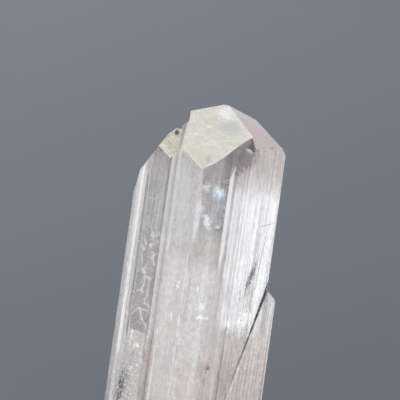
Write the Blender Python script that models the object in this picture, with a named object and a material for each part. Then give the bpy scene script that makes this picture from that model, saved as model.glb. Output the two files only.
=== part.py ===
"""Danburite crystal: three individuals grown side by side, joined in one solid and cut off flat at the foot."""
import math
import random

import bmesh
import bpy
from mathutils import Vector

MM = 0.001

# Driving dimensions in millimetres. X runs across the front, Y away from the viewer, Z up the crystals' long axis.
HEIGHT = 54.0           # foot to the tip of the main individual
HALF_WIDTH = 8.6        # flank of the left individual and flank of the side individual
HALF_DEPTH = 8.5        # front and back prism edges of the main individual

# Bearings turn from the front towards the right; leans run down from the tip, so 90 is a prism face.
PRISM = 44.0            # bearing of the prism faces, to either side of front and back
DOME_LEAN = 41.2        # the frosted front dome and its match behind
DOME_FOOT = 46.53       # height where the dome meets the front prism edge
SHOULDER_BEARING = 37.0
SHOULDER_LEAN = 33.5    # the pink face to the right of the dome
SHOULDER_X = 0.507      # where the shoulder begins on the ridge

FRONT_EDGE_X = -1.45    # the main individual's front prism edge
BACK_EDGE_X = 0.10
MAIN_LEFT_X = -4.27     # its left face, in the groove beside the left individual
MAIN_RIGHT_X = 7.15
LAYER_ROOT = (3.607, -3.62)     # where the striated layer's wall rises from the bowed front face
LAYER_EDGE = (4.137, -5.73)     # the layer's front edge
LAYER_RIGHT_X = 7.557
LAYER_TAPER = 0.55      # how far the layer thins towards the foot

LEFT_EDGE_X = -5.10     # front prism edge of the left individual
LEFT_EDGE_Y = -5.55
LEFT_DOME_FOOT = 47.29
LEFT_TOP = 50.66
LEFT_FLANK_X = -6.62    # where its striated flank begins
LEFT_BACK_Y = 5.3

SIDE_TIP = (7.46, 34.5)         # x and z of the side individual's tip
SUTURE_LOW = (5.48, 25.67)      # x and z of a point low on the suture between it and the layer
SUTURE_LEAN = 13.4      # the suture's lean from the long axis
SIDE_RISE = 0.30        # how far its front stands proud of the layer
SIDE_TAPER = 0.70

STEP_DEPTH = 0.10       # usual depth of a growth striation
BELOW = -1.0            # depth to which solids run before the foot is cut
SEED = 41


def clear_scene():
    for obj in list(bpy.data.objects):
        bpy.data.objects.remove(obj, do_unlink=True)


def crystal_material(name):
    """Clear, colourless to faintly pink danburite with a glassy lustre."""
    material = bpy.data.materials.new(name)
    material.use_nodes = True
    shader = material.node_tree.nodes["Principled BSDF"]
    shader.inputs["Base Color"].default_value = (0.86, 0.80, 0.78, 1.0)
    shader.inputs["Roughness"].default_value = 0.15
    shader.inputs["Metallic"].default_value = 0.0
    shader.inputs["Transmission Weight"].default_value = 0.9
    shader.inputs["IOR"].default_value = 1.63
    return material


def face_normal(bearing, lean):
    turn = math.radians(bearing)
    fall = math.radians(lean)
    return Vector((math.sin(fall) * math.sin(turn), -math.sin(fall) * math.cos(turn), math.cos(fall)))


def along(point, bearing, run):
    """The point reached along a prism face of this bearing when x has changed by run."""
    return (point[0] + run, point[1] + run * math.tan(math.radians(bearing)))


def shifted(points, bearing, distance):
    """The points moved straight into the crystal from a prism face of this bearing."""
    inward = -face_normal(bearing, 90.0) * distance
    return [(x + inward.x, y + inward.y) for x, y in points]


def striated(start, end, steps, depth, rng):
    """Outline points of a face built of narrow growth steps, from start to end with the outside on the right."""
    a = Vector(start)
    b = Vector(end)
    outward = Vector((b.y - a.y, a.x - b.x)).normalized()
    stops = [0.0]
    for _ in range(steps):
        stops.append(stops[-1] + rng.uniform(0.5, 1.5))
    points = [tuple(a)]
    for low, high in zip(stops[:-1], stops[1:]):
        rise = outward * depth * rng.uniform(0.35, 1.0)
        foot = a.lerp(b, (low + 0.12 * (high - low)) / stops[-1])
        crest = a.lerp(b, (low + rng.uniform(0.35, 0.6) * (high - low)) / stops[-1]) + rise
        if low > 0.0:
            points.append(tuple(foot))
        points.append(tuple(crest))
    points.append(tuple(b))
    return points


def solid(name, bm):
    """A scene object in metres from a mesh built in millimetres, with its faces outward."""
    bmesh.ops.scale(bm, vec=(MM, MM, MM), verts=bm.verts[:])
    bmesh.ops.recalc_face_normals(bm, faces=bm.faces[:])
    mesh = bpy.data.meshes.new(name)
    bm.to_mesh(mesh)
    bm.free()
    mesh.materials.append(crystal_material(name))
    obj = bpy.data.objects.new(name, mesh)
    bpy.context.scene.collection.objects.link(obj)
    return obj


def column(foot, head, bottom, top):
    """Upright solid between two outlines of equal length, listed anticlockwise as seen from above."""
    bm = bmesh.new()
    low = [bm.verts.new((x, y, bottom)) for x, y in foot]
    high = [bm.verts.new((x, y, top)) for x, y in head]
    bm.faces.new(list(reversed(low)))
    bm.faces.new(high)
    for i in range(len(low)):
        j = (i + 1) % len(low)
        bm.faces.new((low[i], low[j], high[j], high[i]))
    return bm


def trim(bm, faces):
    """Cuts the solid by crystal faces, each a bearing, a lean and a point, and closes each cut."""
    for bearing, lean, point in faces:
        bmesh.ops.bisect_plane(
            bm,
            geom=bm.verts[:] + bm.edges[:] + bm.faces[:],
            dist=1e-5,
            plane_co=point,
            plane_no=face_normal(bearing, lean),
            clear_outer=True,
        )
        open_edges = [edge for edge in bm.edges if edge.is_boundary]
        bmesh.ops.holes_fill(bm, edges=open_edges, sides=0)
    return bm


def combine(body, name, others, operation):
    """Joins growths to the crystal or takes hollows out of it in one step; the other solids are only guides."""
    group = bpy.data.collections.new(name)
    bpy.context.scene.collection.children.link(group)
    for other in others:
        other.hide_render = True
        other.display_type = "WIRE"
        bpy.context.scene.collection.objects.unlink(other)
        group.objects.link(other)
    modifier = body.modifiers.new(name, "BOOLEAN")
    modifier.operation = operation
    modifier.solver = "EXACT"
    modifier.operand_type = "COLLECTION"
    modifier.collection = group


def ridge_y():
    """Depth of the short ridge at the tip, where front and back dome meet."""
    return (HEIGHT - DOME_FOOT) / math.tan(math.radians(DOME_LEAN)) - HALF_DEPTH


def foot_plane():
    return (0.0, 180.0, (0.0, 0.0, 0.0))


def main_individual(rng):
    """The broad prism with its striated layer on the right front, under every end face but the front dome."""
    front_edge = (FRONT_EDGE_X, -HALF_DEPTH)
    bowed_face = [front_edge, (-0.12, -7.53), (0.87, -6.55), (1.84, -5.37), (2.52, -4.63)]
    layer_right = along(LAYER_EDGE, PRISM, LAYER_RIGHT_X - LAYER_EDGE[0])
    layer = [LAYER_ROOT] + striated(LAYER_EDGE, layer_right, 18, STEP_DEPTH, rng)
    right_ledge = [(LAYER_RIGHT_X - 0.06, -1.60), (MAIN_RIGHT_X + 0.10, -1.35)]
    back_edge = (BACK_EDGE_X, HALF_DEPTH)
    right_back = along(back_edge, 180.0 - PRISM, MAIN_RIGHT_X - BACK_EDGE_X)
    left_back = along(back_edge, 180.0 + PRISM, MAIN_LEFT_X - BACK_EDGE_X)
    left_bevel = along(front_edge, -PRISM, MAIN_LEFT_X + 0.27 - FRONT_EDGE_X)
    left_front = (MAIN_LEFT_X, left_bevel[1] + 0.70)
    left_face = striated(left_bevel, front_edge, 5, STEP_DEPTH * 0.3, rng)[:-1]

    behind = striated(right_back, back_edge, 16, STEP_DEPTH * 1.4, rng)
    behind += striated(back_edge, left_back, 9, STEP_DEPTH, rng)[1:]
    rest = right_ledge + behind + [left_front] + left_face
    head = bowed_face + layer + rest
    foot = bowed_face + [LAYER_ROOT] + shifted(layer[1:], PRISM, LAYER_TAPER) + rest

    bm = column(foot, head, 0.0, HEIGHT + 6.0)
    trim(bm, [
        (180.0, DOME_LEAN, (0.0, ridge_y(), HEIGHT)),
        (-130.0, 33.7, (-0.053, ridge_y(), HEIGHT)),
        (SHOULDER_BEARING, SHOULDER_LEAN, (SHOULDER_X, ridge_y(), HEIGHT)),
        (140.0, 28.3, (SHOULDER_X, ridge_y(), HEIGHT)),
        (95.0, 42.4, (3.787, 0.22, 52.76)),
        (90.0, 58.6, (7.06, -2.53, 50.0)),
        (-80.0, 73.7, (MAIN_LEFT_X + 0.27, left_bevel[1], 48.7)),
    ])
    return solid("danburite_crystal", bm)


def above_the_dome():
    """What the front dome cuts away: all above its plane, as far right as the wall of the striated layer."""
    outline = [(-12.0, -12.0), (4.67, -12.0), (3.64, LAYER_ROOT[1]), (3.12, 0.60), (-12.0, 0.60)]
    bm = column(outline, outline, DOME_FOOT - 8.0, HEIGHT + 9.0)
    trim(bm, [(180.0, 180.0 - DOME_LEAN, (FRONT_EDGE_X, -HALF_DEPTH, DOME_FOOT))])
    return solid("above_the_dome", bm)


def top_notch():
    """The ledge left of the ridge, where the dome's upper left corner is missing."""
    wall_x = -3.60
    outline = [(-6.0, -9.5), (wall_x, -9.5), (wall_x + 0.05, 3.0), (-6.0, 3.0)]
    bm = column(outline, outline, 48.0, HEIGHT + 2.0)
    trim(bm, [(88.0, 145.5, (wall_x, -2.7, 51.61))])
    return solid("top_notch", bm)


def lath(name, start, bearing, rise, width, bottom, top, sink):
    """A thin raised strip on a prism face, ended above by a small dome and below by a slanting break.

    Its wall rises at a point on the face, and its crest runs to the right as seen from outside. Returns the strip
    and the far edge of its crest.
    """
    across = Vector((math.cos(math.radians(bearing)), math.sin(math.radians(bearing))))
    start = Vector(start)
    corner = Vector(shifted([start], bearing, -rise)[0])
    after = corner + across * width
    root_left, root_right = shifted([start - across * 0.06, after - across * 0.03], bearing, 0.9)
    head = [root_left, tuple(corner), tuple(after), root_right]
    foot = shifted(head, bearing, sink)
    bm = column(foot, head, bottom, top + 2.0)
    dome_bearing = bearing * 0.3 if bearing < 90.0 else 180.0
    trim(bm, [
        (dome_bearing, DOME_LEAN, (corner[0], corner[1], top)),
        (bearing - 60.0, 152.0, (corner[0], corner[1], bottom + 1.2)),
    ])
    return solid(name, bm), after - across * 0.05


def growth_laths():
    """Narrow laths that climb like stairs from the smooth window to the layer, each ending higher than the last."""
    tops = (46.3, 46.75, 47.5, 48.6)
    bottoms = (34.0, 19.0, 9.0, 5.0)
    rises = (0.55, 0.45, 0.50, 0.30)
    widths = (0.32, 0.22, 0.25, 0.45)
    laths = []
    at = (2.13, -5.06)
    for i, (top, bottom, rise, width) in enumerate(zip(tops, bottoms, rises, widths)):
        piece, at = lath(f"growth_lath_{i + 1}", at, PRISM, rise, width, bottom, top, 0.12 + 0.12 * i)
        laths.append(piece)
    return laths


def back_laths():
    """A few broad, low strips on the two faces behind."""
    places = [
        (180.0 - PRISM, (5.2, 3.57), 0.22, 1.5, 9.0, 44.5),
        (180.0 - PRISM, (2.3, 6.38), 0.18, 1.1, 21.0, 46.6),
        (180.0 + PRISM, (-1.1, 7.34), 0.20, 1.2, 14.0, 46.0),
    ]
    pieces = []
    for i, (bearing, start, rise, width, bottom, top) in enumerate(places):
        pieces.append(lath(f"back_lath_{i + 1}", start, bearing, rise, width, bottom, top, 0.05)[0])
    return pieces


def left_individual(rng):
    """The lower individual on the left, with its own small dome and a steep face that falls to the left."""
    edge = (LEFT_EDGE_X, LEFT_EDGE_Y)
    flank = along(edge, -PRISM, LEFT_FLANK_X - LEFT_EDGE_X)
    front_face = striated(flank, edge, 3, STEP_DEPTH * 0.3, rng)
    side = along(flank, -66.0, -HALF_WIDTH - LEFT_FLANK_X)
    side_back = (-HALF_WIDTH, side[1] + 0.9)
    back = along(side_back, 180.0 + PRISM, 3.6)
    groove = along(edge, PRISM, 1.0)
    inner_x = -3.20
    outline = [edge, groove, (inner_x, -3.60), (inner_x, 3.80), (-3.55, LEFT_BACK_Y), (-4.40, LEFT_BACK_Y)]
    outline += striated(back, side_back, 7, STEP_DEPTH, rng)
    outline += striated(side, flank, 11, STEP_DEPTH * 1.2, rng) + front_face[1:-1]
    bm = column(outline, outline, BELOW, HEIGHT)
    left_ridge_y = LEFT_EDGE_Y + (LEFT_TOP - LEFT_DOME_FOOT) / math.tan(math.radians(DOME_LEAN))
    trim(bm, [
        (0.0, DOME_LEAN, (LEFT_EDGE_X, LEFT_EDGE_Y, LEFT_DOME_FOOT)),
        (180.0, DOME_LEAN, (0.0, left_ridge_y, LEFT_TOP)),
        (-90.0, 59.3, (-6.67, 0.0, 48.2)),
        (-90.0, 43.0, (-5.31, 0.0, 50.26)),
        (-90.0, 81.0, (-8.44, 0.0, 44.15)),
        foot_plane(),
    ])
    return solid("left_individual", bm)


def side_individual(rng):
    """The short individual low on the right; a slanting suture divides it from the layer."""
    start = along(LAYER_EDGE, PRISM, -1.2)
    proud = shifted([start], PRISM, -SIDE_RISE)[0]
    corner = along(proud, PRISM + 3.0, HALF_WIDTH - proud[0])
    front = striated(proud, corner, 15, STEP_DEPTH * 0.6, rng)
    hidden = [(HALF_WIDTH, 0.90), (7.30, 2.90), (5.80, 2.30), (3.40, -3.40)]
    head = front + hidden
    foot = shifted(front[:-1], PRISM, SIDE_TAPER) + [corner] + hidden
    bm = column(foot, head, BELOW, SIDE_TIP[1] + 3.0)
    trim(bm, [
        (-90.0, 90.0 - SUTURE_LEAN, (SUTURE_LOW[0], 0.0, SUTURE_LOW[1])),
        (96.0, 43.0, (SIDE_TIP[0], -2.8, SIDE_TIP[1])),
        (90.0, 74.0, (HALF_WIDTH - 0.11, -1.0, 33.5)),
        foot_plane(),
    ])
    return solid("side_individual", bm)


def suture_x(z):
    return SUTURE_LOW[0] + (z - SUTURE_LOW[1]) * math.tan(math.radians(SUTURE_LEAN))


def suture_crack():
    """The open top of the suture: a thin wedge, deepest at the front of the layer, that closes downward."""
    low = 28.6
    top = SIDE_TIP[1] + 1.2
    width = 0.36
    section = [(suture_x(low), low), (suture_x(top), top), (suture_x(top) - width, top)]
    bm = bmesh.new()
    front = [bm.verts.new((x, -6.5, z)) for x, z in section]
    back = [bm.verts.new((x, -1.7, z)) for x, z in section]
    bm.faces.new(front)
    bm.faces.new(list(reversed(back)))
    for i in range(3):
        j = (i + 1) % 3
        bm.faces.new((front[j], front[i], back[i], back[j]))
    return solid("suture_crack", bm)


def bite(name, centre, radius, rng):
    """A rough lump that breaks a hollow out of the surface."""
    bm = bmesh.new()
    bmesh.ops.create_icosphere(bm, subdivisions=2, radius=radius)
    for vert in bm.verts:
        vert.co *= rng.uniform(0.88, 1.06)
        vert.co.z *= 0.75
    bmesh.ops.translate(bm, vec=centre, verts=bm.verts[:])
    return solid(name, bm)


def foot_chips(rng):
    """Flakes lost from the rim of the broken foot."""
    places = [(-3.1, -8.6, 2.6), (6.5, -5.0, 2.5), (9.4, 1.2, 2.2), (2.9, 7.6, 2.9), (-6.6, 5.2, 2.4), (-9.3, -1.4, 2.1)]
    return [bite(f"foot_chip_{i + 1}", (x, y, -0.4), radius, rng) for i, (x, y, radius) in enumerate(places)]


def build():
    clear_scene()
    rng = random.Random(SEED)
    crystal = main_individual(rng)
    combine(crystal, "dome_cut", [above_the_dome(), top_notch()], "DIFFERENCE")
    growths = growth_laths() + back_laths() + [left_individual(rng), side_individual(rng)]
    combine(crystal, "growths", growths, "UNION")
    ridge_pit = bite("ridge_pit", (-4.73, -2.45, 50.15), 0.36, rng)
    combine(crystal, "losses", [suture_crack(), ridge_pit] + foot_chips(rng), "DIFFERENCE")


build()
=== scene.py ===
# %% [markdown]
# # A danburite crystal
# The object is a clear, faintly pink danburite: a striated prism under a frosted wedge-shaped tip,
# with a lower crystal grown along its left side and a short one low on its right. Its solid comes
# in as a fixed frame. This lesson gives it clear and milky stuff, frosted end faces, veils inside,
# and soft studio light.

# %% Load the solid
import math
import bmesh
import bpy
from mathutils import Vector, Matrix


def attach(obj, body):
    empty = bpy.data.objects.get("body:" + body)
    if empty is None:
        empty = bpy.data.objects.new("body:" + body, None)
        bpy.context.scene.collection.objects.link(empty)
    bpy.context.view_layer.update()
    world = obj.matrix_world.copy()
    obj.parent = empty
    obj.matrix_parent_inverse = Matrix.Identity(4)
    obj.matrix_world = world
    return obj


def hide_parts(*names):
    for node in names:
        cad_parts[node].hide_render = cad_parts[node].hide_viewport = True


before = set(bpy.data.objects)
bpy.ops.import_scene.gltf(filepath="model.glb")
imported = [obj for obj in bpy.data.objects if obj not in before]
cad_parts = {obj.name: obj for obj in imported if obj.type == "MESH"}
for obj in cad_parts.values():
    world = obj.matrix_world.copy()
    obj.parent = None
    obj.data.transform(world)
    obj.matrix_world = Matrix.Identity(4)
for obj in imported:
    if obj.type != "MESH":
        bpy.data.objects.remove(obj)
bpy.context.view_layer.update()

MM = 0.001
solid_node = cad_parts["danburite_crystal"]
scene = bpy.context.scene

# %% [markdown]
# ## Camera
# The crystal stands upright in its own frame, but it leans eight degrees to the right in the
# photograph. Turning the crystal would leave it balancing on one corner of its foot, so the camera
# rolls instead. A long lens from more than half a metre keeps the prism edges parallel, as they are
# in the photograph.

# %% Place the camera
PICTURE_LEAN = math.radians(8.0)
PICTURE_WIDTH = 44.0 * MM
LOOK_AT = Vector((-1.2, -4.0, 43.18)) * MM
CAMERA_DISTANCE = 0.62
SENSOR_WIDTH = 36.0
NEAREST_SEEN = 0.01

picture_right = Vector((math.cos(PICTURE_LEAN), 0.0, math.sin(PICTURE_LEAN)))
picture_up = Vector((-math.sin(PICTURE_LEAN), 0.0, math.cos(PICTURE_LEAN)))
towards_camera = picture_right.cross(picture_up)
camera_data = bpy.data.cameras.new("camera")
camera = bpy.data.objects.new("camera", camera_data)
scene.collection.objects.link(camera)
placement = Matrix((picture_right, picture_up, towards_camera)).transposed().to_4x4()
placement.translation = LOOK_AT + towards_camera * CAMERA_DISTANCE
camera.matrix_world = placement
camera_data.sensor_width = SENSOR_WIDTH
camera_data.lens = camera_data.sensor_width * CAMERA_DISTANCE / PICTURE_WIDTH
camera_data.clip_start = NEAREST_SEEN
scene.camera = camera
print("lens in mm:", round(camera_data.lens))

# %% [markdown]
# ## Short words for node trees
# Every look below is a small tree of nodes. This helper adds a node, sets or links its inputs, and
# hands back the socket that the next step needs, so that a recipe reads from top to bottom. A mask
# is a socket that is 1 where a look applies and 0 where it doesn't.

# %% Node helper
class Recipe:
    def __init__(self, tree):
        self.tree = tree

    def put(self, socket, value):
        """Links another node's socket, or sets a plain value."""
        if isinstance(value, bpy.types.NodeSocket):
            self.tree.links.new(value, socket)
        else:
            socket.default_value = value

    def node(self, kind, inputs=None, **settings):
        node = self.tree.nodes.new(kind)
        for name, value in settings.items():
            setattr(node, name, value)
        for key, value in (inputs or {}).items():
            self.put(node.inputs[key], value)
        return node

    def calc(self, operation, *values, clamp=False):
        inputs = dict(enumerate(values))
        return self.node("ShaderNodeMath", inputs, operation=operation, use_clamp=clamp).outputs[0]

    def times(self, first, *others):
        for other in others:
            first = self.calc("MULTIPLY", first, other)
        return first

    def plus(self, first, amount, weight=1.0):
        """The first value plus an amount times its weight."""
        return self.calc("MULTIPLY_ADD", amount, weight, first)

    def centred(self, noise):
        """A noise lies around a half; this moves it to lie around zero."""
        return self.plus(noise, -0.5)

    def most(self, first, *others):
        for other in others:
            first = self.calc("MAXIMUM", first, other)
        return first

    def without(self, first, mask):
        return self.times(first, self.calc("SUBTRACT", 1.0, mask, clamp=True))

    def blend(self, factor, a, b):
        """Goes from number a to number b as the factor goes from 0 to 1."""
        return self.node("ShaderNodeMix", {0: factor, 2: a, 3: b}, data_type="FLOAT").outputs[0]

    def tint(self, factor, a, b, label=""):
        """Goes from colour a to colour b; the label names the layer in the node editor."""
        node = self.node("ShaderNodeMix", {0: factor, 6: a, 7: b}, data_type="RGBA", label=label)
        return node.outputs[2]

    def step(self, value, low, high):
        """Rises smoothly from 0 at low to 1 at high; with low above high it falls instead."""
        rising = high > low
        ends = {"From Min": min(low, high), "From Max": max(low, high)}
        ends.update({"To Min": 0.0 if rising else 1.0, "To Max": 1.0 if rising else 0.0, "Value": value})
        return self.node("ShaderNodeMapRange", ends, interpolation_type="SMOOTHSTEP").outputs[0]

    def band(self, value, low, high, soft):
        """1 between low and high, fading out over soft on either side."""
        return self.times(self.step(value, low - soft, low), self.step(value, high + soft, high))

    def noise(self, vector, scale, detail=3.0, roughness=0.5, distortion=0.0):
        inputs = {"Vector": vector, "Scale": scale, "Detail": detail, "Roughness": roughness,
                  "Distortion": distortion}
        return self.node("ShaderNodeTexNoise", inputs).outputs[0]

    def stretched(self, vector, scale):
        return self.node("ShaderNodeMapping", {"Vector": vector, "Scale": scale}).outputs[0]

    def length(self, vector):
        return self.node("ShaderNodeVectorMath", {0: vector}, operation="LENGTH").outputs["Value"]


def new_material(name):
    material = bpy.data.materials.new(name)
    material.use_nodes = True
    return material, Recipe(material.node_tree), material.node_tree.nodes["Principled BSDF"]


print("recipe words:", [word for word in vars(Recipe) if not word.startswith("_")])

# %% [markdown]
# ## Backdrop
# The surroundings are plain grey, a little darker downward and to the right. They are the world's
# colour, so the clear parts of the stone let the same grey through, from whichever side the camera
# looks.

# %% Backdrop
BACKDROP_HIGH = (0.220, 0.231, 0.262, 1.0)
BACKDROP_LOW = (0.167, 0.181, 0.207, 1.0)
BACKDROP_LEFT = (1.0, 1.0, 1.0, 1.0)
BACKDROP_RIGHT = (0.86, 0.89, 0.895, 1.0)
EDGE_OF_VIEW = 0.035

world = bpy.data.worlds.new("studio")
scene.world = world
world.use_nodes = True
sky = Recipe(world.node_tree)
across_view = {"From Min": -EDGE_OF_VIEW, "From Max": EDGE_OF_VIEW}
direction = sky.node("ShaderNodeSeparateXYZ", {0: sky.node("ShaderNodeTexCoord").outputs["Generated"]})
upward = sky.node("ShaderNodeMapRange", {"Value": direction.outputs[2], **across_view})
rightward = sky.node("ShaderNodeMapRange", {"Value": direction.outputs[0], **across_view})
backdrop = sky.tint(upward.outputs[0], BACKDROP_LOW, BACKDROP_HIGH)
darker = sky.tint(rightward.outputs[0], BACKDROP_LEFT, BACKDROP_RIGHT)
both = {0: 1.0, 6: backdrop, 7: darker}
shaded = sky.node("ShaderNodeMix", both, data_type="RGBA", blend_type="MULTIPLY").outputs[2]
sky.put(world.node_tree.nodes["Background"].inputs["Color"], shaded)
scene.view_settings.view_transform = "Standard"
print("backdrop:", len(world.node_tree.nodes), "nodes")

# %% [markdown]
# ## Lights
# Large soft lights turn the striated faces white. A prism with upright faces hands a level ray on
# as a level ray, so only the lights that cross eye level can shine through it: the left and the
# right one. The others hang high and just fill. The camera doesn't see the lights themselves.

# %% Softboxes
LIT_POINT = Vector((0.0, 0.0, 0.040))
NEUTRAL = (1.0, 1.0, 1.0)
WARM = (1.0, 0.97, 0.93)

# name, place and size in metres, watts, colour
SOFTBOXES = (
    ("light_above", (-0.06, -0.20, 0.46), 0.40, 0.40, 0.80, WARM),
    ("light_front", (0.14, -0.48, 0.26), 0.45, 0.35, 1.25, NEUTRAL),
    ("light_left", (-0.44, 0.0, 0.12), 0.40, 0.45, 0.85, NEUTRAL),
    ("light_right", (0.44, -0.10, 0.12), 0.40, 0.45, 0.95, NEUTRAL),
    ("light_behind", (0.05, 0.45, 0.42), 0.40, 0.30, 1.35, NEUTRAL),
)


def softbox(name, place, width, depth, watts, tint):
    light = bpy.data.lights.new(name, "AREA")
    light.shape = "RECTANGLE"
    light.size = width
    light.size_y = depth
    light.energy = watts
    light.color = tint
    box = bpy.data.objects.new(name, light)
    scene.collection.objects.link(box)
    box.location = place
    box.rotation_euler = (LIT_POINT - Vector(place)).to_track_quat("-Z", "Y").to_euler()
    box.visible_camera = False


for row in SOFTBOXES:
    softbox(*row)

# %% [markdown]
# ## Floor
# A pale disc under the stone catches its soft shadow. It thins out to nothing before its rim, so it
# has no visible edge in front of the backdrop.

# %% Floor
FLOOR_RADIUS = 0.6
FLOOR_SIDES = 96
FLOOR_COLOUR = (0.74, 0.73, 0.72, 1.0)
FLOOR_ROUGHNESS = 0.6
FLOOR_WHOLE_TO = 0.14
FLOOR_GONE_BY = 0.42

bpy.ops.mesh.primitive_circle_add(vertices=FLOOR_SIDES, radius=FLOOR_RADIUS, fill_type="NGON")
floor = bpy.context.object
floor.name = "floor"
floor_paint, floor_recipe, floor_shader = new_material("pale_floor")
from_middle = floor_recipe.length(floor_recipe.node("ShaderNodeTexCoord").outputs["Object"])
floor_shader.inputs["Base Color"].default_value = FLOOR_COLOUR
floor_shader.inputs["Roughness"].default_value = FLOOR_ROUGHNESS
whole = floor_recipe.step(from_middle, FLOOR_GONE_BY, FLOOR_WHOLE_TO)
floor_recipe.put(floor_shader.inputs["Alpha"], whole)
floor.data.materials.append(floor_paint)
print("floor radius in m:", FLOOR_RADIUS)

# %% [markdown]
# ## Danburite: clear, milky and frosted in one stone
# The stone is clear glass-like matter of refractive index 1.63 with a faint pink absorption. How
# milky it is changes from place to place: growth bands run up the prism, the foot is clouded, and
# the end faces are frosted. One material holds all of it, because the stone is one piece. Every
# band and patch is a soft mask measured in millimetres. Each mask lays three numbers over the ones
# below it: how milky the stone is there, where its colour lies on a short scale of hues, and how
# bright that colour is. Three numbers in one chain keep the recipe small.

# %% The scale of hues
BLUE, GREEN, WHITE, PALE, BEIGE, PINK, MAUVE = 0.0, 0.14, 0.30, 0.45, 0.65, 0.82, 1.0

# where a hue sits on the scale, and its colour at full brightness
HUES = (
    (BLUE, (0.64, 0.76, 1.00, 1.0)),
    (GREEN, (0.80, 0.95, 0.92, 1.0)),
    (WHITE, (0.97, 0.975, 0.99, 1.0)),
    (PALE, (0.90, 0.885, 0.88, 1.0)),
    (BEIGE, (0.89, 0.815, 0.78, 1.0)),
    (PINK, (0.88, 0.75, 0.73, 1.0)),
    (MAUVE, (0.82, 0.76, 0.77, 1.0)),
)
print("hues on the scale:", len(HUES))

# %% [markdown]
# ## Growth bands
# A danburite prism grows in layers that run its whole length, so most of what shows on the front is
# upright bands. Each row below is one band, with its middle and half width across the front and its
# two ends. A few rows are painted light instead: they lighten the shade in the grooves and paint
# highlights along the front edge.

# %% Growth bands and painted light, measured on the photograph
# what it is, middle and half width across, lower and upper end, fade, how milky, hue, brightness
GROWTH_AND_LIGHT_BANDS = (
    ("clouded foot, left", -5.0, 3.80, 0.0, 27.5, 0.30, 0.58, 0.58, 0.83),
    ("clouded foot, middle", 0.8, 2.60, 0.0, 27.8, 0.90, 0.62, 0.70, 0.86),
    ("clouded foot, right", 5.7, 3.60, 0.0, 28.9, 0.60, 0.68, 0.66, 0.80),
    ("clouded foot, right and low", 5.7, 3.60, 0.0, 24.6, 0.80, 0.66, 0.70, 0.68),
    ("flank of the left crystal", -7.70, 0.45, 0.0, 48.0, 0.15, 0.50, PALE, 1.0),
    ("bright line on the flank", -7.85, 0.10, 26.0, 46.0, 0.14, 0.95, WHITE, 1.0),
    ("pink band inside the flank", -6.95, 0.25, 40.0, 48.5, 0.15, 0.48, BEIGE, 0.90),
    ("outer edge of the flank", -8.42, 0.22, 0.0, 45.0, 0.10, 0.28, PALE, 0.76),
    ("dark gap on the flank", -7.20, 0.07, 27.5, 45.0, 0.08, 0.15, PALE, 0.80),
    ("dark gap beside the line", -6.42, 0.06, 28.0, 38.0, 0.08, 0.05, PALE, 0.74),
    ("thin bright line", -6.60, 0.04, 27.0, 38.0, 0.08, 0.80, WHITE, 1.0),
    ("thin line in the window", -5.30, 0.04, 41.5, 46.5, 0.08, 0.60, WHITE, 1.0),
    # Partly the pale left face, partly painted light that lifts the shade in the groove.
    ("pale band and painted light in the groove", -4.30, 0.52, 27.0, 49.0, 0.22, 0.76, PALE, 1.0),
    ("left face", -2.65, 1.05, 33.0, 50.0, 0.40, 0.34, PALE, 0.97),
    ("left face, lower", -2.65, 1.20, 0.0, 36.5, 0.50, 0.54, 0.50, 0.96),
    # Painted highlight beside the front edge.
    ("painted highlight beside the front edge", -1.20, 0.12, 39.0, 46.0, 0.35, 0.42, WHITE, 1.0),
    ("dark stuff under the tip", 0.90, 1.80, 44.6, 51.0, 0.60, 0.05, MAUVE, 0.82),
    ("clear band", 0.40, 1.05, 39.0, 44.6, 0.50, 0.05, 0.36, 0.90),
    ("clouded band", 1.05, 1.80, 26.0, 38.0, 0.55, 0.52, 0.48, 0.97),
    ("brownish pink layer", 0.50, 1.90, 37.2, 38.6, 0.70, 0.36, 0.68, 0.91),
    ("white stripe", 2.00, 0.16, 36.5, 46.2, 0.16, 0.80, WHITE, 1.0),
    ("striated layer, top", 6.0, 2.75, 44.5, 49.9, 0.45, 0.58, BEIGE, 0.85),
    ("upper fringe of the layer", 5.85, 3.10, 41.0, 46.0, 0.50, 0.66, 0.52, 0.90),
    ("striated layer", 5.85, 3.15, 30.1, 44.3, 0.50, 0.80, WHITE, 1.0),
    # Painted light over the shade in the groove of the foot.
    ("painted light in the groove of the foot", -4.30, 0.35, 0.0, 27.2, 0.25, 0.70, 0.58, 0.90),
    # Painted light over the shade at the foot of the layer's step.
    ("painted light on the shaded step in the foot", 2.70, 0.40, 0.0, 29.0, 0.30, 0.76, 0.55, 0.92),
    ("duller foot of the layer", 5.85, 3.10, 30.1, 33.6, 0.42, 0.74, 0.36, 0.95),
    # Painted highlight down the front edge.
    ("painted highlight down the front edge", -1.66, 0.02, 0.0, 37.0, 0.10, 0.60, WHITE, 1.0),
    ("thin line in the groove", -3.84, 0.02, 0.0, 29.0, 0.10, 0.66, WHITE, 1.0),
)
print("growth bands:", len(GROWTH_AND_LIGHT_BANDS))
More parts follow.
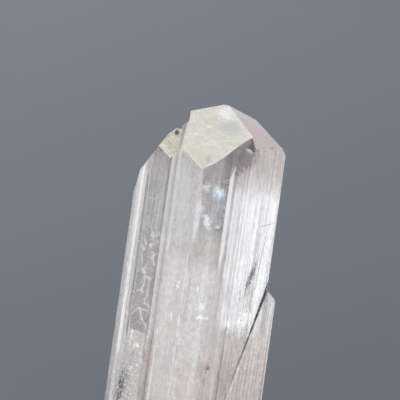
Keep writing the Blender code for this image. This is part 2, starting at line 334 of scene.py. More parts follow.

# %% [markdown]
# ## Patches
# Cleavages that split the light, clouds, scratches and specks are smaller than the bands and lie
# anywhere, and one patch is painted shade under the dome. Each row is one ragged patch with its
# middle, its half size and its lean. A more solid patch has fewer gaps.

# %% Patches, measured on the photograph
# what it is, middle across and up, half width and height, lean in degrees,
# how solid, how milky, hue, brightness
PATCHES = (
    ("bluish cleavage", 0.80, 44.2, 1.05, 0.95, 0, 0.10, 0.70, BLUE, 0.84),
    ("bluish cleavage, brightest", 0.80, 44.3, 0.60, 0.45, 20, 0.12, 0.90, 0.05, 0.96),
    ("white cleavage", -0.65, 44.7, 1.10, 0.85, 25, 0.05, 0.42, WHITE, 1.0),
    ("greenish cleavage", -0.12, 40.9, 0.70, 1.50, -12, 0.08, 0.70, GREEN, 1.0),
    # Painted shade: mauve darkened under the dome.
    ("painted mauve shade under the dome", 3.3, 48.9, 1.3, 1.7, 0, 0.22, 0.85, MAUVE, 0.46),
    ("duller top of the layer", 4.2, 44.4, 0.6, 1.5, 0, 0.06, 0.80, PALE, 0.88),
    ("pink glint", 1.10, 40.5, 0.60, 0.50, 0, 0.02, 0.55, PINK, 1.08),
    ("wisps right of the edge", -0.75, 42.6, 0.6, 2.6, 6, 0.00, 0.45, PALE, 1.0),
    ("pale band over the milk", 0.80, 30.4, 2.8, 0.55, 0, -0.03, 0.78, WHITE, 1.0),
    ("bright end of the stripe", 3.20, 31.4, 0.50, 1.9, 6, 0.12, 0.95, WHITE, 1.0),
    ("bright foot of the layer", 3.55, 30.1, 0.60, 0.45, 0, 0.16, 1.0, WHITE, 1.0),
    ("bright corner", 5.50, 31.0, 0.75, 1.3, 10, 0.14, 1.0, WHITE, 1.0),
    ("white spot by the edge", -2.25, 33.7, 0.26, 1.0, 8, 0.05, 0.90, WHITE, 1.0),
    ("white spot", -0.1, 33.6, 0.20, 0.6, 0, 0.05, 0.90, WHITE, 1.0),
    ("short white line", 1.2, 34.4, 1.5, 0.20, 3, -0.03, 0.62, WHITE, 1.0),
    ("lower white spot", -2.60, 30.2, 0.26, 0.9, 0, 0.04, 0.85, WHITE, 1.0),
    ("haze over the milk", 0.3, 31.8, 3.0, 3.0, 0, -0.08, 0.68, WHITE, 1.0),
    ("brownish pink patch", -2.05, 37.3, 0.95, 1.10, 0, 0.02, 0.48, 0.75, 0.84),
    ("brownish pink haze", 0.80, 37.6, 2.40, 2.00, 0, 0.00, 0.46, 0.78, 0.82),
    ("brownish pink streak", 2.40, 37.4, 0.30, 2.20, 0, 0.02, 0.50, PINK, 0.76),
    ("grey squiggle", 5.50, 35.5, 0.36, 2.4, 13, 0.13, 0.85, 0.40, 0.30),
    ("grey specks by the squiggle", 5.25, 34.2, 0.60, 1.5, 13, 0.00, 0.85, 0.40, 0.55),
    ("grey line in the layer", 6.35, 37.5, 0.10, 5.0, 4, 0.10, 0.80, 0.40, 0.60),
    ("grey line, shorter", 5.75, 38.8, 0.07, 3.5, 4, 0.10, 0.80, 0.40, 0.60),
    ("hairline across the layer", 6.3, 41.4, 1.2, 0.08, -22, 0.15, 0.80, 0.45, 0.66),
    ("pale spot", -5.92, 26.3, 0.60, 0.60, 0, 0.02, 0.90, 0.22, 1.0),
    ("dark specks", 2.2, 25.0, 0.55, 0.60, 0, 0.02, 0.80, MAUVE, 0.45),
    ("dark streak", 1.98, 24.5, 0.20, 0.75, 10, 0.05, 0.75, MAUVE, 0.55),
    ("mauve deep in the foot", 1.6, 24.8, 1.3, 2.6, 5, 0.02, 0.55, 0.95, 0.80),
    ("mauve foot of the side crystal", 7.2, 21.5, 2.0, 3.0, 0, 0.02, 0.50, MAUVE, 0.82),
    ("white dots", 6.28, 25.6, 0.40, 0.35, 0, 0.0, 0.95, WHITE, 1.0),
    ("grey speckles on the left", -7.0, 22.0, 1.3, 4.8, 8, 0.05, 0.60, 0.40, 0.56),
    ("dark cracks on the left", -7.1, 20.5, 0.6, 3.6, 4, 0.06, 0.70, 0.42, 0.36),
    ("bluish cloud on the left", -5.4, 24.2, 1.0, 1.8, 0, 0.04, 0.50, 0.30, 0.80),
)
print("patches:", len(PATCHES))

# %% [markdown]
# ## Places and directions on the stone
# The recipe starts with Object coordinates, turned into millimetres so that every mask can use the
# measures above. The way a face looks tells the front of the prism and the end faces apart from the
# rest.

# %% Start the recipe
TURNED_AWAY, TURNED_TO_FRONT = 0.05, -0.10
STILL_UPRIGHT, AN_END_FACE = 0.15, 0.30

danburite, r, shader = new_material("danburite")
place = r.node("ShaderNodeTexCoord").outputs["Object"]
spot = r.node("ShaderNodeVectorMath", {0: place, "Scale": 1.0 / MM}, operation="SCALE").outputs[0]
x, y, z = r.node("ShaderNodeSeparateXYZ", {0: spot}).outputs
normal = r.node("ShaderNodeNewGeometry").outputs["True Normal"]
slope = r.node("ShaderNodeSeparateXYZ", {0: normal}).outputs
front = r.step(slope[1], TURNED_AWAY, TURNED_TO_FRONT)
end_face = r.step(slope[2], STILL_UPRIGHT, AN_END_FACE)


def so_far(step):
    print(step + ", nodes so far:", len(danburite.node_tree.nodes))


so_far("places and directions")

# %% [markdown]
# ## Noises
# Six noises give the grain. The broad noise, the streaks and the lines are stretched until they run
# straight up the prism, as growth striations do. Clouds, mottling and flecks stay round.

# %% Noises
# in brackets the stretch, then scale per millimetre, detail, roughness and distortion
broad = r.noise(r.stretched(spot, (1.0, 1.0, 0.06)), 0.7, 2.0, 0.5)
streaks = r.noise(r.stretched(spot, (1.0, 1.0, 0.025)), 1.7, 3.0, 0.6)
lines = r.noise(r.stretched(spot, (1.0, 1.0, 0.008)), 6.0, 1.0, 0.5)
clouds = r.noise(spot, 0.22, 2.0, 0.5)
mottle = r.noise(spot, 1.6, 4.0, 0.6)
flecks = r.noise(r.stretched(spot, (1.0, 1.0, 0.7)), 2.6, 5.0, 0.85, 0.8)
striation = r.centred(r.plus(streaks, r.centred(lines), 0.6))
grain = r.centred(flecks)
so_far("noises")

# %% [markdown]
# ## Masks and looks
# A spherical gradient in a stretched frame is 1 in the middle of an ellipse and 0 at its edge. A
# patch adds flecks to that, so that its edge is ragged. The renderer works out every mask as early
# as it can and has room for few at a time. So each group of layers waits for the one before it: the
# place that its masks read is moved by an amount too small to see, which is known only once the
# layers below are laid.

# %% Masks and looks
FAR_THROUGH = 1e6
TOO_SMALL_TO_SEE = (1e-7, 1e-7, 1e-7)
LAYERS_IN_A_GROUP = 9
PATCH_SPREAD = 1.5
PATCH_WEIGHT = 0.52
PATCH_EDGE = 0.92


def near(spot, at_x, at_z, half_x, half_z, lean=0.0):
    """1 at a middle on the front of the stone, falling to 0 at the half width and half height."""
    inputs = {"Vector": spot, "Location": (at_x, 0.0, at_z), "Rotation": (0.0, math.radians(lean), 0.0),
              "Scale": (half_x, FAR_THROUGH, half_z)}
    inside = r.node("ShaderNodeMapping", inputs, vector_type="TEXTURE").outputs[0]
    return r.node("ShaderNodeTexGradient", {0: inside}, gradient_type="SPHERICAL").outputs["Fac"]


def patch(spot, at_x, at_z, half_x, half_z, lean=0.0, solid=0.1, fade=0.08):
    """Flecks that thin out from a middle on the front of the stone; some reach past its half width."""
    middle = near(spot, at_x, at_z, PATCH_SPREAD * half_x, PATCH_SPREAD * half_z, lean)
    edge = PATCH_EDGE - solid
    return r.step(r.plus(flecks, middle, PATCH_WEIGHT), edge - fade, edge + fade)


def looks(milky, hue, bright):
    """The three numbers side by side in one socket; plain numbers need no node."""
    if not any(isinstance(value, bpy.types.NodeSocket) for value in (milky, hue, bright)):
        return (milky, hue, bright, 1.0)
    return r.node("ShaderNodeCombineColor", {0: milky, 1: hue, 2: bright}).outputs[0]


def settled(state, spot):
    """The same place, with its x and z, but known only once the layers so far are laid."""
    waits = {0: state, 1: TOO_SMALL_TO_SEE, 2: spot}
    spot = r.node("ShaderNodeVectorMath", waits, operation="MULTIPLY_ADD").outputs[0]
    xyz = r.node("ShaderNodeSeparateXYZ", {0: spot}).outputs
    return spot, xyz[0], xyz[2]


print("layers in a group:", LAYERS_IN_A_GROUP)

# %% [markdown]
# ## Lay the growth bands
# Away from the front the stone is plain: clear above and clouded towards the foot. On the front the
# bands go over that one after another. Their ends wander with the flecks and streaks, so none stops
# on a level line.

# %% Plain stone, then the growth bands and the painted light
CLEAR_ABOVE, CLOUDED_BELOW = 36.0, 16.0
ENDS_SOFTER_BY = 3.0

depth = r.step(z, CLEAR_ABOVE, CLOUDED_BELOW)
plain_milk = r.plus(r.blend(depth, 0.18, 0.44), r.centred(clouds), 0.45)
plain_hue = r.plus(r.plus(0.36, clouds, 0.16), depth, 0.10)
state = looks(plain_milk, plain_hue, 1.0)
for number, (what, middle, half, low, high, fade, milky, hue, bright) in enumerate(GROWTH_AND_LIGHT_BANDS):
    if number % LAYERS_IN_A_GROUP == 0:
        spot, x, z = settled(state, spot)
        wander = r.plus(r.plus(r.plus(z, flecks, 2.0), streaks, 5.0), -3.5)
    across = r.band(x, middle - half, middle + half, fade)
    mask = r.times(front, across, r.band(wander, low, high, ENDS_SOFTER_BY * fade))
    state = r.tint(mask, state, looks(milky, hue, bright), what)
so_far("growth bands")

# %% [markdown]
# ## The side crystal and the clear window
# Low on the right a short crystal lies beyond a slanting suture, and it is duller towards its foot.
# The lower crystal on the left has a clear window, where the edges of Voronoi cells stand for the
# webs of a healed crack.

# %% Side crystal and window
SUTURE_SLOPE = 0.238
SUTURE_FOOT = 5.48 - 25.67 * SUTURE_SLOPE
WINDOW_LEFT, WINDOW_RIGHT = -6.80, -5.00
WINDOW_TOP = 48.0
WINDOW_SLOPE = -0.24
WEBS_PER_MM = 0.58
WEB_WIDTH = 0.12

beside_suture = r.calc("SUBTRACT", r.plus(x, z, -SUTURE_SLOPE), SUTURE_FOOT)
side_crystal = r.times(r.step(beside_suture, 0.0, 0.08), r.step(z, 37.0, 36.0), r.step(x, 5.0, 5.2))
side_hue = r.blend(r.step(z, 34.0, 24.0), PALE, 0.72)
side_bright = r.blend(r.step(z, 34.0, 24.0), 0.93, 0.76)
state = r.tint(side_crystal, state, looks(0.64, side_hue, side_bright), "side crystal")

window_foot = r.plus(28.6, r.plus(x, 8.6), WINDOW_SLOPE)
above_foot = r.step(r.calc("SUBTRACT", z, window_foot), -0.08, 0.12)
window = r.times(front, r.band(x, WINDOW_LEFT, WINDOW_RIGHT, 0.20), above_foot)
cells = {"Vector": r.stretched(spot, (1.0, 1.0, 0.8)), "Scale": WEBS_PER_MM}
from_edge = r.node("ShaderNodeTexVoronoi", cells, feature="DISTANCE_TO_EDGE").outputs[0]
webs = r.step(from_edge, WEB_WIDTH, 0.0)
wisps = r.times(webs, r.step(z, 41.5, 38.0), r.step(mottle, 0.32, 0.60))
window = r.times(window, r.step(z, WINDOW_TOP + 1.0, WINDOW_TOP))
state = r.tint(window, state, looks(r.times(wisps, 0.70), 0.32, 0.71), "clear window and its webs")
so_far("side crystal and window")

# %% [markdown]
# ## Lay the patches
# The patches go over the bands, in groups of the same size.

# %% Patches on the front
for number, (what, at_x, at_z, half_x, half_z, lean, solid, milky, hue, bright) in enumerate(PATCHES):
    if number % LAYERS_IN_A_GROUP == 0:
        spot, x, z = settled(state, spot)
    mask = r.times(front, patch(spot, at_x, at_z, half_x, half_z, lean, solid))
    state = r.tint(mask, state, looks(milky, hue, bright), what)
spot, x, z = settled(state, spot)
so_far("patches")

# %% [markdown]
# ## The healed suture and the specks
# Low down the suture is healed, and only its upper part is an open crack. Where the foot is
# cracked, and beside the grey squiggle, the stone is full of dark and white specks, which are the
# two ends of one noise.

# %% Healed suture and specks
HEALED_FROM, HEALED_TO = 29.5, 25.5
SUTURE_HALF, SUTURE_SOFT = 0.12, 0.40

in_front_half = r.step(y, 0.0, -1.0)
on_suture = r.step(r.calc("ABSOLUTE", beside_suture), SUTURE_SOFT, SUTURE_HALF)
healed = r.times(in_front_half, on_suture, r.step(z, HEALED_FROM, HEALED_TO))
state = r.tint(healed, state, looks(0.80, 0.66, 0.78), "healed suture")

cracked = r.plus(near(spot, -6.9, 22.0, 3.2, 13.0, 6), near(spot, 2.0, 24.9, 1.8, 3.2), 0.7)
cracked = r.plus(cracked, near(spot, 5.4, 34.6, 1.4, 3.6, 13), 0.7)
cracked = r.times(front, r.calc("MINIMUM", cracked, 1.0))
specks = r.noise(spot, 3.4, 3.0, 0.75)
dark_specks = r.times(cracked, r.step(r.plus(specks, cracked, 0.12), 0.58, 0.68))
white_specks = r.times(cracked, r.step(specks, 0.46, 0.36))
so_far("suture and specks")

# %% [markdown]
# ## Read the three numbers back
# The layers are laid, so the three numbers become a colour and an amount of milk. Grain, mottling
# and specks go on top. Striations change the milk most on the striated layer and on the left flank,
# where they show best, and least in the clouded foot.

# %% Colour and milk of the prism
GRAIN_ON_COLOUR, MOTTLE_ON_COLOUR = 0.45, 0.30
DARK_SPECKS_ON_COLOUR, WHITE_SPECKS_ON_COLOUR = -0.50, 0.20
STRIATION_ABOVE, STRIATION_IN_FOOT, STRIATION_ON_LAYER = 0.25, 0.08, 1.15
MOTTLE_ON_MILK, GRAIN_ON_MILK, BROAD_ON_MILK, SPECKS_ON_MILK = 0.35, 0.45, 0.30, 0.45

told = r.node("ShaderNodeSeparateColor", {0: state})
ramp = r.node("ShaderNodeValToRGB", {0: told.outputs[1]})
stops = ramp.color_ramp.elements
while len(stops) < len(HUES):
    stops.new(0.5)
for stop, (position, hue_colour) in zip(stops, HUES):
    stop.position = position
    stop.color = hue_colour

brightness = r.plus(told.outputs[2], r.times(grain, r.step(z, 42.0, 30.0)), GRAIN_ON_COLOUR)
brightness = r.plus(brightness, r.times(r.centred(mottle), r.step(z, 44.0, 34.0)), MOTTLE_ON_COLOUR)
brightness = r.plus(brightness, dark_specks, DARK_SPECKS_ON_COLOUR)
brightness = r.plus(brightness, white_specks, WHITE_SPECKS_ON_COLOUR)
scaled = {0: ramp.outputs[0], "Scale": brightness}
colour = r.node("ShaderNodeVectorMath", scaled, operation="SCALE").outputs[0]

layer = r.times(r.band(x, 2.9, 8.8, 0.4), r.band(z, 30.0, 45.0, 1.5))
striped = r.times(front, r.most(layer, r.band(x, -8.1, -7.3, 0.15)))
in_foot = r.step(z, 31.0, 27.0)
striation_gain = r.plus(r.blend(in_foot, STRIATION_ABOVE, STRIATION_IN_FOOT), striped, STRIATION_ON_LAYER)
milk = r.plus(told.outputs[0], striation, striation_gain)
milk = r.plus(milk, r.centred(mottle), MOTTLE_ON_MILK)
milk = r.plus(milk, grain, GRAIN_ON_MILK)
milk = r.plus(milk, r.centred(broad), BROAD_ON_MILK)
milk = r.plus(milk, r.plus(dark_specks, white_specks), SPECKS_ON_MILK)
so_far("colour and milk")

# %% [markdown]
# ## The frosted end faces
# The two domes are etched to a cream-coloured frost, and the shoulder beside them is a duller rose.
# A face is told by the way it looks outward. The frost is built like the prism: a base of fine
# scales, with grain, stains, a hollow and chips laid over it, and rims where the dome meets its
# neighbours, lightened by wear and by a painted edge highlight.

# %% Which face is which
DOME_OUTWARD = Vector((0.0, -0.659, 0.752))
SHOULDER_OUTWARD = Vector((0.332, -0.441, 0.834))
LEFT_FRONT_OUTWARD = Vector((-0.695, -0.719, 0.0))
RIGHT_FRONT_OUTWARD = Vector((0.695, -0.719, 0.0))
FRONT_EDGE = Vector((-1.45, -8.5, 0.0))
RIDGE_END = Vector((0.507, 0.03, 54.0))
SAME_WAY = 0.985


def facing(direction):
    """1 on faces whose outward normal points along the given direction."""
    dot = r.node("ShaderNodeVectorMath", {0: normal, 1: direction.normalized()}, operation="DOT_PRODUCT")
    return r.step(dot.outputs["Value"], SAME_WAY, SAME_WAY + 0.5 * (1.0 - SAME_WAY))


def beyond(outward, point):
    """Distance in millimetres outside the plane through a point."""
    dot = r.node("ShaderNodeVectorMath", {0: spot, 1: outward.normalized()}, operation="DOT_PRODUCT")
    return r.calc("SUBTRACT", dot.outputs["Value"], outward.normalized().dot(point))


lath_top = r.times(r.band(x, 1.8, 4.3, 0.1), r.step(z, 49.3, 48.9))
dome = r.without(facing(DOME_OUTWARD), lath_top)
shoulder = facing(SHOULDER_OUTWARD)
left_rim = r.step(beyond(LEFT_FRONT_OUTWARD, FRONT_EDGE), -0.22, -0.08)
right_rim = r.step(beyond(RIGHT_FRONT_OUTWARD, FRONT_EDGE), -0.18, 0.02)
top_rim = r.step(beyond(SHOULDER_OUTWARD, RIDGE_END), -0.30, -0.10)
rims = r.most(left_rim, right_rim, top_rim)
so_far("faces told apart")

# %% [markdown]
# ## Cream frost and rose frost
# Each row names a layer of the frost, with its mask and its colour. They go over the base in this
# order.

# %% Frost
scales = r.noise(r.stretched(spot, (1.0, 1.0, 2.2)), 1.1, 5.0, 0.70, 0.8)
pink_cloud = r.times(r.step(clouds, 0.45, 0.60), r.step(z, 48.5, 51.5))
stained = r.times(r.step(x, -4.3, -4.6), r.step(flecks, 0.52, 0.42))
hollow = r.times(patch(spot, 0.75, 51.5, 2.0, 1.1, 0, 0.12, 0.16), 0.8)
# The rims are lightened by wear and by a painted highlight along the edges.
rim_wear_and_highlight = r.times(rims, r.step(flecks, 0.35, 0.60), 0.6)
cream = r.tint(r.step(scales, 0.38, 0.56), (0.83, 0.805, 0.735, 1.0), (0.70, 0.665, 0.585, 1.0), "scales")
for what, mask, finish in (
    ("greyer scales", r.step(scales, 0.58, 0.66), (0.66, 0.645, 0.58, 1.0)),
    ("duller foot of the dome", r.times(r.step(z, 50.0, 47.0), 0.8), (0.68, 0.645, 0.55, 1.0)),
    ("pinkish cloud", pink_cloud, (0.74, 0.685, 0.66, 1.0)),
    ("brown grain", r.times(r.step(flecks, 0.44, 0.32), 0.6), (0.46, 0.43, 0.36, 1.0)),
    ("bright grain", r.times(r.step(flecks, 0.58, 0.66), 0.7), (0.95, 0.94, 0.90, 1.0)),
    ("stain on the left dome", stained, (0.52, 0.48, 0.32, 1.0)),
    ("bluish hollow", hollow, (0.56, 0.58, 0.59, 1.0)),
    ("white at the tip", patch(spot, 0.36, 53.1, 1.3, 1.2, 0, 0.12, 0.10), (0.95, 0.94, 0.92, 1.0)),
    ("white chip", patch(spot, -1.3, 51.3, 1.2, 0.3, -25, -0.06), (0.96, 0.96, 0.94, 1.0)),
    ("brown mark", patch(spot, -0.9, 47.7, 0.8, 0.9, 0, -0.02), (0.45, 0.41, 0.34, 1.0)),
    ("rims with wear and painted highlight", rim_wear_and_highlight, (0.90, 0.88, 0.82, 1.0)),
):
    cream = r.tint(mask, cream, finish, what)

rose = r.tint(r.step(z, 50.5, 53.5), (0.29, 0.205, 0.195, 1.0), (0.35, 0.30, 0.295, 1.0), "rose")
rose = r.tint(r.step(flecks, 0.48, 0.62), rose, (0.39, 0.315, 0.30, 1.0), "pale grain")
rose = r.tint(patch(spot, 5.88, 49.9, 0.16, 0.14, 0, 0.3), rose, (0.16, 0.13, 0.12, 1.0), "dark speck")
so_far("frost")

# %% [markdown]
# ## Put the frost on the faces
# The domes and the shoulder are nearly opaque with frost. The lath's small end face under the dome
# has a darker colour, which is painted shade under the dome.

# %% Frost on the end faces
END_FACE_COLOUR = (0.66, 0.62, 0.61, 1.0)
# The lath's end face is darkened with painted shade under the dome.
LATH_TOP_PAINTED_SHADE = (0.31, 0.285, 0.29, 1.0)
DOME_MILK, SHOULDER_MILK, LATH_MILK = 0.86, 0.80, 0.80

end_milk = r.blend(lath_top, r.plus(0.45, flecks, 0.3), LATH_MILK)
milk = r.blend(end_face, milk, end_milk)
milk = r.blend(shoulder, r.blend(dome, milk, DOME_MILK), SHOULDER_MILK)
colour = r.tint(end_face, colour, r.tint(lath_top, END_FACE_COLOUR, LATH_TOP_PAINTED_SHADE), "end faces")
colour = r.tint(shoulder, r.tint(dome, colour, cream, "domes"), rose, "shoulder")
so_far("end faces")

# %% [markdown]
# ## The pit and the open crack
# A small dark pit sits beside the dome. The suture stands open above its healed part, and the crack
# gets wider upward.

# %% Pit and crack
PIT_COLOUR = (0.16, 0.15, 0.09, 1.0)
CRACK_COLOUR = (0.10, 0.10, 0.105, 1.0)
CRACK_FOOT, CRACK_TOP = 26.0, 35.2
CRACK_WIDENS, NARROWEST_CRACK = 0.022, 0.03

pit = r.times(front, r.step(near(spot, -4.76, 50.2, 0.62, 0.85), 0.48, 0.76))
crack_width = r.calc("MULTIPLY_ADD", r.plus(z, -26.5), CRACK_WIDENS, NARROWEST_CRACK)
from_crack = r.calc("ABSOLUTE", r.plus(beside_suture, 0.08))
crack = r.step(r.calc("SUBTRACT", from_crack, crack_width), 0.05, -0.03)
crack = r.times(front, crack, r.band(z, CRACK_FOOT, CRACK_TOP, 1.0), r.step(flecks, 0.40, 0.48))
milk = r.blend(r.most(pit, crack), milk, 0.9)
colour = r.tint(crack, r.tint(pit, colour, PIT_COLOUR, "pit"), CRACK_COLOUR, "open crack")
so_far("pit and crack")

# %% [markdown]
# ## Into the shader
# What isn't milk lets light through, so the transmission is one minus the milk. Milky places are
# also a little rougher. The bump is fine striations on the prism and fine scales on the end faces.
# The faint pink of the clear stone is an absorption in its volume, so it deepens with the length of
# a ray's way.

# %% Into the shader
GLASS_IOR = 1.63
PINK_ABSORPTION = (0.93, 0.865, 0.85, 1.0)
ABSORPTION_PER_METRE = 20.0
LEAST_MILK = 0.02
CLEAR_ROUGHNESS, ROUGHNESS_OF_MILK, LATH_ROUGHNESS = 0.05, 0.12, 0.90
BUMP_DEPTH = 0.05 * MM

milk = r.calc("MINIMUM", r.calc("MAXIMUM", milk, LEAST_MILK), 1.0)
r.put(shader.inputs["Transmission Weight"], r.calc("SUBTRACT", 1.0, milk))
r.put(shader.inputs["Base Color"], colour)
matt = r.most(lath_top, r.times(end_face, 0.3))
roughness = r.blend(matt, r.plus(CLEAR_ROUGHNESS, milk, ROUGHNESS_OF_MILK), LATH_ROUGHNESS)
r.put(shader.inputs["Roughness"], roughness)

upright = r.times(r.plus(r.times(streaks, 0.8), lines, 0.5), r.blend(in_foot, 1.0, 0.2))
upright = r.plus(upright, flecks, 0.25)
relief = r.blend(end_face, upright, r.times(scales, 0.6))
bump = r.node("ShaderNodeBump", {"Height": relief, "Strength": 1.0, "Distance": BUMP_DEPTH})
r.put(shader.inputs["Normal"], bump.outputs[0])

shader.inputs["IOR"].default_value = GLASS_IOR
pink = {"Color": PINK_ABSORPTION, "Density": ABSORPTION_PER_METRE}
absorb = r.node("ShaderNodeVolumeAbsorption", pink)
r.put(danburite.node_tree.nodes["Material Output"].inputs["Volume"], absorb.outputs[0])
so_far("whole recipe")

# %% [markdown]
# ## The stone itself
# The solid's own shape is already right, so the visible stone is a merged copy of it that replaces
# the node.

# %% Make the stone
MERGE_DISTANCE = 1e-7


def merged_copy(source, name):
    mesh = source.data.copy()
    mesh.name = name
    bm = bmesh.new()
    bm.from_mesh(mesh)
    bmesh.ops.remove_doubles(bm, verts=bm.verts[:], dist=MERGE_DISTANCE)
    for face in bm.faces:
        face.smooth = False
    bm.to_mesh(mesh)
    bm.free()
    mesh.materials.clear()
    copy = bpy.data.objects.new(name, mesh)
    scene.collection.objects.link(copy)
    return copy


stone = merged_copy(solid_node, "danburite_stone")
stone.data.materials.append(danburite)
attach(stone, "root")
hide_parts("danburite_crystal")
print("stone:", len(stone.data.polygons), "faces")

# %% [markdown]
# ## Veils inside the stone
# Healed cracks show inside clear danburite as veils: curved sheets of tiny flakes that gather along
# crooked lines. They repeat by the hundred over a surface, so Geometry Nodes scatter them. The tree
# bends a sheet with noise, lets points fall only near the crooked lines, and sets a flat
# eight-sided flake on each point. What differs from veil to veil is a named input, and each
# veil's seed is fixed.

# %% The tree that grows a veil
FLAKE_THINNESS = 0.22
FLAKE_SIZES = (0.4, 1.3)
FLAKE_TILT = Vector((0.5, 0.5, 3.1))
BENDS_PER_METRE = 0.12 / MM
MID_NOISE = (0.5, 0.5, 0.5)
LINE_DETAIL, LINE_ROUGHNESS, LINE_DISTORTION = 1.5, 0.5, 0.8
VEIL_INPUTS = (
    ("Flake size", "NodeSocketFloat", 0.10 * MM),
    ("Flakes per area", "NodeSocketFloat", 4.0e6),
    ("Line spacing", "NodeSocketFloat", 1.6 * MM),
    ("Line width", "NodeSocketFloat", 0.04),
    ("Bend", "NodeSocketFloat", 0.8 * MM),
    ("Seed", "NodeSocketInt", 1),
    ("Material", "NodeSocketMaterial", None),
)


def bent_sheet(r, given, place):
    """The sheet, pushed out of flat by a broad noise."""
    inputs = {"Vector": place, "Scale": BENDS_PER_METRE, "W": given["Seed"]}
    noise = r.node("ShaderNodeTexNoise", inputs, noise_dimensions="4D").outputs["Color"]
    centred = r.node("ShaderNodeVectorMath", {0: noise, 1: MID_NOISE}, operation="SUBTRACT").outputs[0]
    push = {0: centred, "Scale": given["Bend"]}
    offset = r.node("ShaderNodeVectorMath", push, operation="SCALE").outputs[0]
    moved = {"Geometry": given["Geometry"], "Offset": offset}
    return r.node("GeometryNodeSetPosition", moved).outputs[0]


def flakes_per_area(r, given, place):
    """Highest on the crooked lines where a noise crosses its middle value, and nothing away from them."""
    lines_per_metre = r.calc("DIVIDE", 1.0, given["Line spacing"])
    inputs = {"Vector": place, "Scale": lines_per_metre, "Detail": LINE_DETAIL,
              "Roughness": LINE_ROUGHNESS, "Distortion": LINE_DISTORTION, "W": given["Seed"]}
    waves = r.node("ShaderNodeTexNoise", inputs, noise_dimensions="4D").outputs[0]
    from_line = r.calc("ABSOLUTE", r.centred(waves))
    near_line = r.calc("SUBTRACT", 1.0, r.calc("DIVIDE", from_line, given["Line width"]), clamp=True)
    return r.times(near_line, near_line, given["Flakes per area"])


def flakes_on(r, given, points):
    """One flat flake on each point, of its own size and tilted a little out of the sheet."""
    flake = r.node("GeometryNodeMeshUVSphere", {"Segments": 4, "Rings": 2, "Radius": 1.0}).outputs["Mesh"]
    tilts = {0: -FLAKE_TILT, 1: FLAKE_TILT, "Seed": given["Seed"]}
    tilt = r.node("FunctionNodeRandomValue", tilts, data_type="FLOAT_VECTOR").outputs[0]
    turn = {"Rotation": points.outputs["Rotation"], "Rotate By": tilt}
    turned = r.node("FunctionNodeRotateRotation", turn, rotation_space="LOCAL").outputs[0]
    sizes = {2: FLAKE_SIZES[0], 3: FLAKE_SIZES[1], "Seed": given["Seed"]}
    size = r.node("FunctionNodeRandomValue", sizes, data_type="FLOAT").outputs[1]
    reach = r.times(size, given["Flake size"])
    thin = r.times(reach, FLAKE_THINNESS)
    flat = r.node("ShaderNodeCombineXYZ", {0: reach, 1: reach, 2: thin}).outputs[0]
    inputs = {"Points": points.outputs["Points"], "Instance": flake, "Rotation": turned, "Scale": flat}
    return r.node("GeometryNodeInstanceOnPoints", inputs).outputs[0]


def veil_tree():
    tree = bpy.data.node_groups.new("grow_a_veil", "GeometryNodeTree")
    tree.interface.new_socket("Geometry", in_out="INPUT", socket_type="NodeSocketGeometry")
    for name, kind, value in VEIL_INPUTS:
        socket = tree.interface.new_socket(name, in_out="INPUT", socket_type=kind)
        if value is not None:
            socket.default_value = value
    tree.interface.new_socket("Geometry", in_out="OUTPUT", socket_type="NodeSocketGeometry")
    r = Recipe(tree)
    given = tree.nodes.new("NodeGroupInput").outputs
    place = r.node("GeometryNodeInputPosition").outputs[0]
    scatter = {"Mesh": bent_sheet(r, given, place), "Density": flakes_per_area(r, given, place),
               "Seed": given["Seed"]}
    points = r.node("GeometryNodeDistributePointsOnFaces", scatter)
    flakes = flakes_on(r, given, points)
    real = r.node("GeometryNodeRealizeInstances", {"Geometry": flakes}).outputs[0]
    dressing = {"Geometry": real, "Material": given["Material"]}
    dressed = r.node("GeometryNodeSetMaterial", dressing).outputs[0]
    r.put(tree.nodes.new("NodeGroupOutput").inputs["Geometry"], dressed)
    return tree


VEIL_TREE = veil_tree()
print("veil tree:", len(VEIL_TREE.nodes), "nodes")

# %% [markdown]
# ## Stuff of the veils
# A healed crack scatters white light. Where it lies flat to the eye it splits the light, and looks
# bluish, greenish or white. Both finishes vary from flake to flake with a noise in Object
# coordinates.

# %% Veil materials
PATCHES_PER_METRE = 0.9 / MM


def veil_material(name, first, second, third, roughness):
    material, r, shader = new_material(name)
    place = r.node("ShaderNodeTexCoord").outputs["Object"]
    hue = r.noise(place, PATCHES_PER_METRE, 2.0, 0.5)
    colour = r.tint(r.step(hue, 0.42, 0.50), first, second)
    colour = r.tint(r.step(hue, 0.54, 0.62), colour, third)
    r.put(shader.inputs["Base Color"], colour)
    shader.inputs["Roughness"].default_value = roughness
    return material


white_veil = veil_material(
    "white_veil", (0.95, 0.95, 0.96, 1.0), (0.90, 0.89, 0.89, 1.0), (0.97, 0.95, 0.93, 1.0), 0.35)
bright_veil = veil_material(
    "bright_veil", (0.72, 0.84, 1.0, 1.0), (0.95, 0.97, 1.0, 1.0), (0.80, 0.96, 0.90, 1.0), 0.20)
print("veil materials:", white_veil.name, bright_veil.name)

# %% [markdown]
# ## Grow the veils
# Each veil starts as a flat sheet between four corners. The tree runs on it as a modifier, and the
# result is kept as a plain mesh, because the export takes meshes and no modifiers of this kind. The
# sheet then goes.

# %% Sheets and veils
SHEET_CUTS = 14


def sheet(name, corners):
    """A flat sheet between four corners in millimetres."""
    a, b, c, d = (Vector(corner) * MM for corner in corners)
    bm = bmesh.new()
    rows = []
    for i in range(SHEET_CUTS + 1):
        u = i / SHEET_CUTS
        low, high = a.lerp(b, u), d.lerp(c, u)
        rows.append([bm.verts.new(low.lerp(high, j / SHEET_CUTS)) for j in range(SHEET_CUTS + 1)])
    for near_row, far_row in zip(rows[:-1], rows[1:]):
        for j in range(SHEET_CUTS):
            bm.faces.new((near_row[j], far_row[j], far_row[j + 1], near_row[j + 1]))
    mesh = bpy.data.meshes.new(name)
    bm.to_mesh(mesh)
    bm.free()
    return mesh


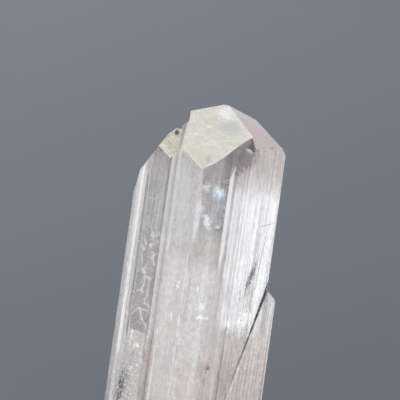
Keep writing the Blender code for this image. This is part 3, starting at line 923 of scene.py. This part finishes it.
def veil(name, corners, wishes):
    """Grows one veil on a sheet and turns it into a plain mesh that rides on the stone."""
    grower = bpy.data.objects.new(name + "_sheet", sheet(name + "_sheet", corners))
    scene.collection.objects.link(grower)
    modifier = grower.modifiers.new("veil", "NODES")
    modifier.node_group = VEIL_TREE
    for item in VEIL_TREE.interface.items_tree:
        if item.in_out == "INPUT" and item.name in wishes:
            modifier[item.identifier] = wishes[item.name]
    grower.update_tag()
    ready = grower.evaluated_get(bpy.context.evaluated_depsgraph_get())
    mesh = bpy.data.meshes.new_from_object(ready)
    mesh.name = name
    bpy.data.objects.remove(grower, do_unlink=True)
    piece = bpy.data.objects.new(name, mesh)
    scene.collection.objects.link(piece)
    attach(piece, "root")
    print(name, len(mesh.polygons), "faces")


# name, seed, stuff, flakes per square millimetre, line spacing in mm, line width, and four corners in mm
VEILS = (
    ("veil_in_window", 3, white_veil, 170, 3.2, 0.022,
     ((-7.2, -2.6, 21.0), (-4.6, -3.4, 21.0), (-4.6, -3.0, 39.0), (-7.2, -2.4, 39.0))),
    ("veil_in_window_above", 5, white_veil, 120, 3.4, 0.015,
     ((-6.8, -2.2, 38.0), (-4.6, -3.2, 38.0), (-4.8, -3.0, 47.0), (-6.6, -2.0, 46.0))),
    ("veil_in_middle", 7, white_veil, 110, 2.4, 0.035,
     ((-3.0, -3.6, 20.0), (3.0, -3.0, 20.0), (2.6, -3.4, 39.0), (-3.2, -4.0, 39.0))),
    ("veil_under_tip", 11, bright_veil, 110, 1.8, 0.030,
     ((-2.6, -5.0, 38.0), (2.0, -4.2, 38.0), (1.6, -4.6, 46.0), (-2.2, -5.2, 46.0))),
    ("veil_across", 13, white_veil, 80, 2.0, 0.060,
     ((-3.4, -3.0, 30.0), (0.0, -6.6, 30.2), (5.4, -2.0, 30.4), (1.0, 5.0, 29.6))),
)
for name, seed, stuff, crowd, spacing, width, corners in VEILS:
    wishes = {"Seed": seed, "Material": stuff, "Flakes per area": crowd / MM ** 2,
              "Line spacing": spacing * MM, "Line width": width}
    veil(name, corners, wishes)

# %% [markdown]
# ## Light paths
# Light passes many faces on its way through the stone and its veils. With too few bounces such a
# ray ends black, so the limits are set for clear stone.

# %% Light paths
THROUGH_THE_STONE = 16
GLOSSY_BOUNCES = 8

scene.cycles.max_bounces = THROUGH_THE_STONE
scene.cycles.transmission_bounces = THROUGH_THE_STONE
scene.cycles.glossy_bounces = GLOSSY_BOUNCES
print("bounces:", scene.cycles.max_bounces)
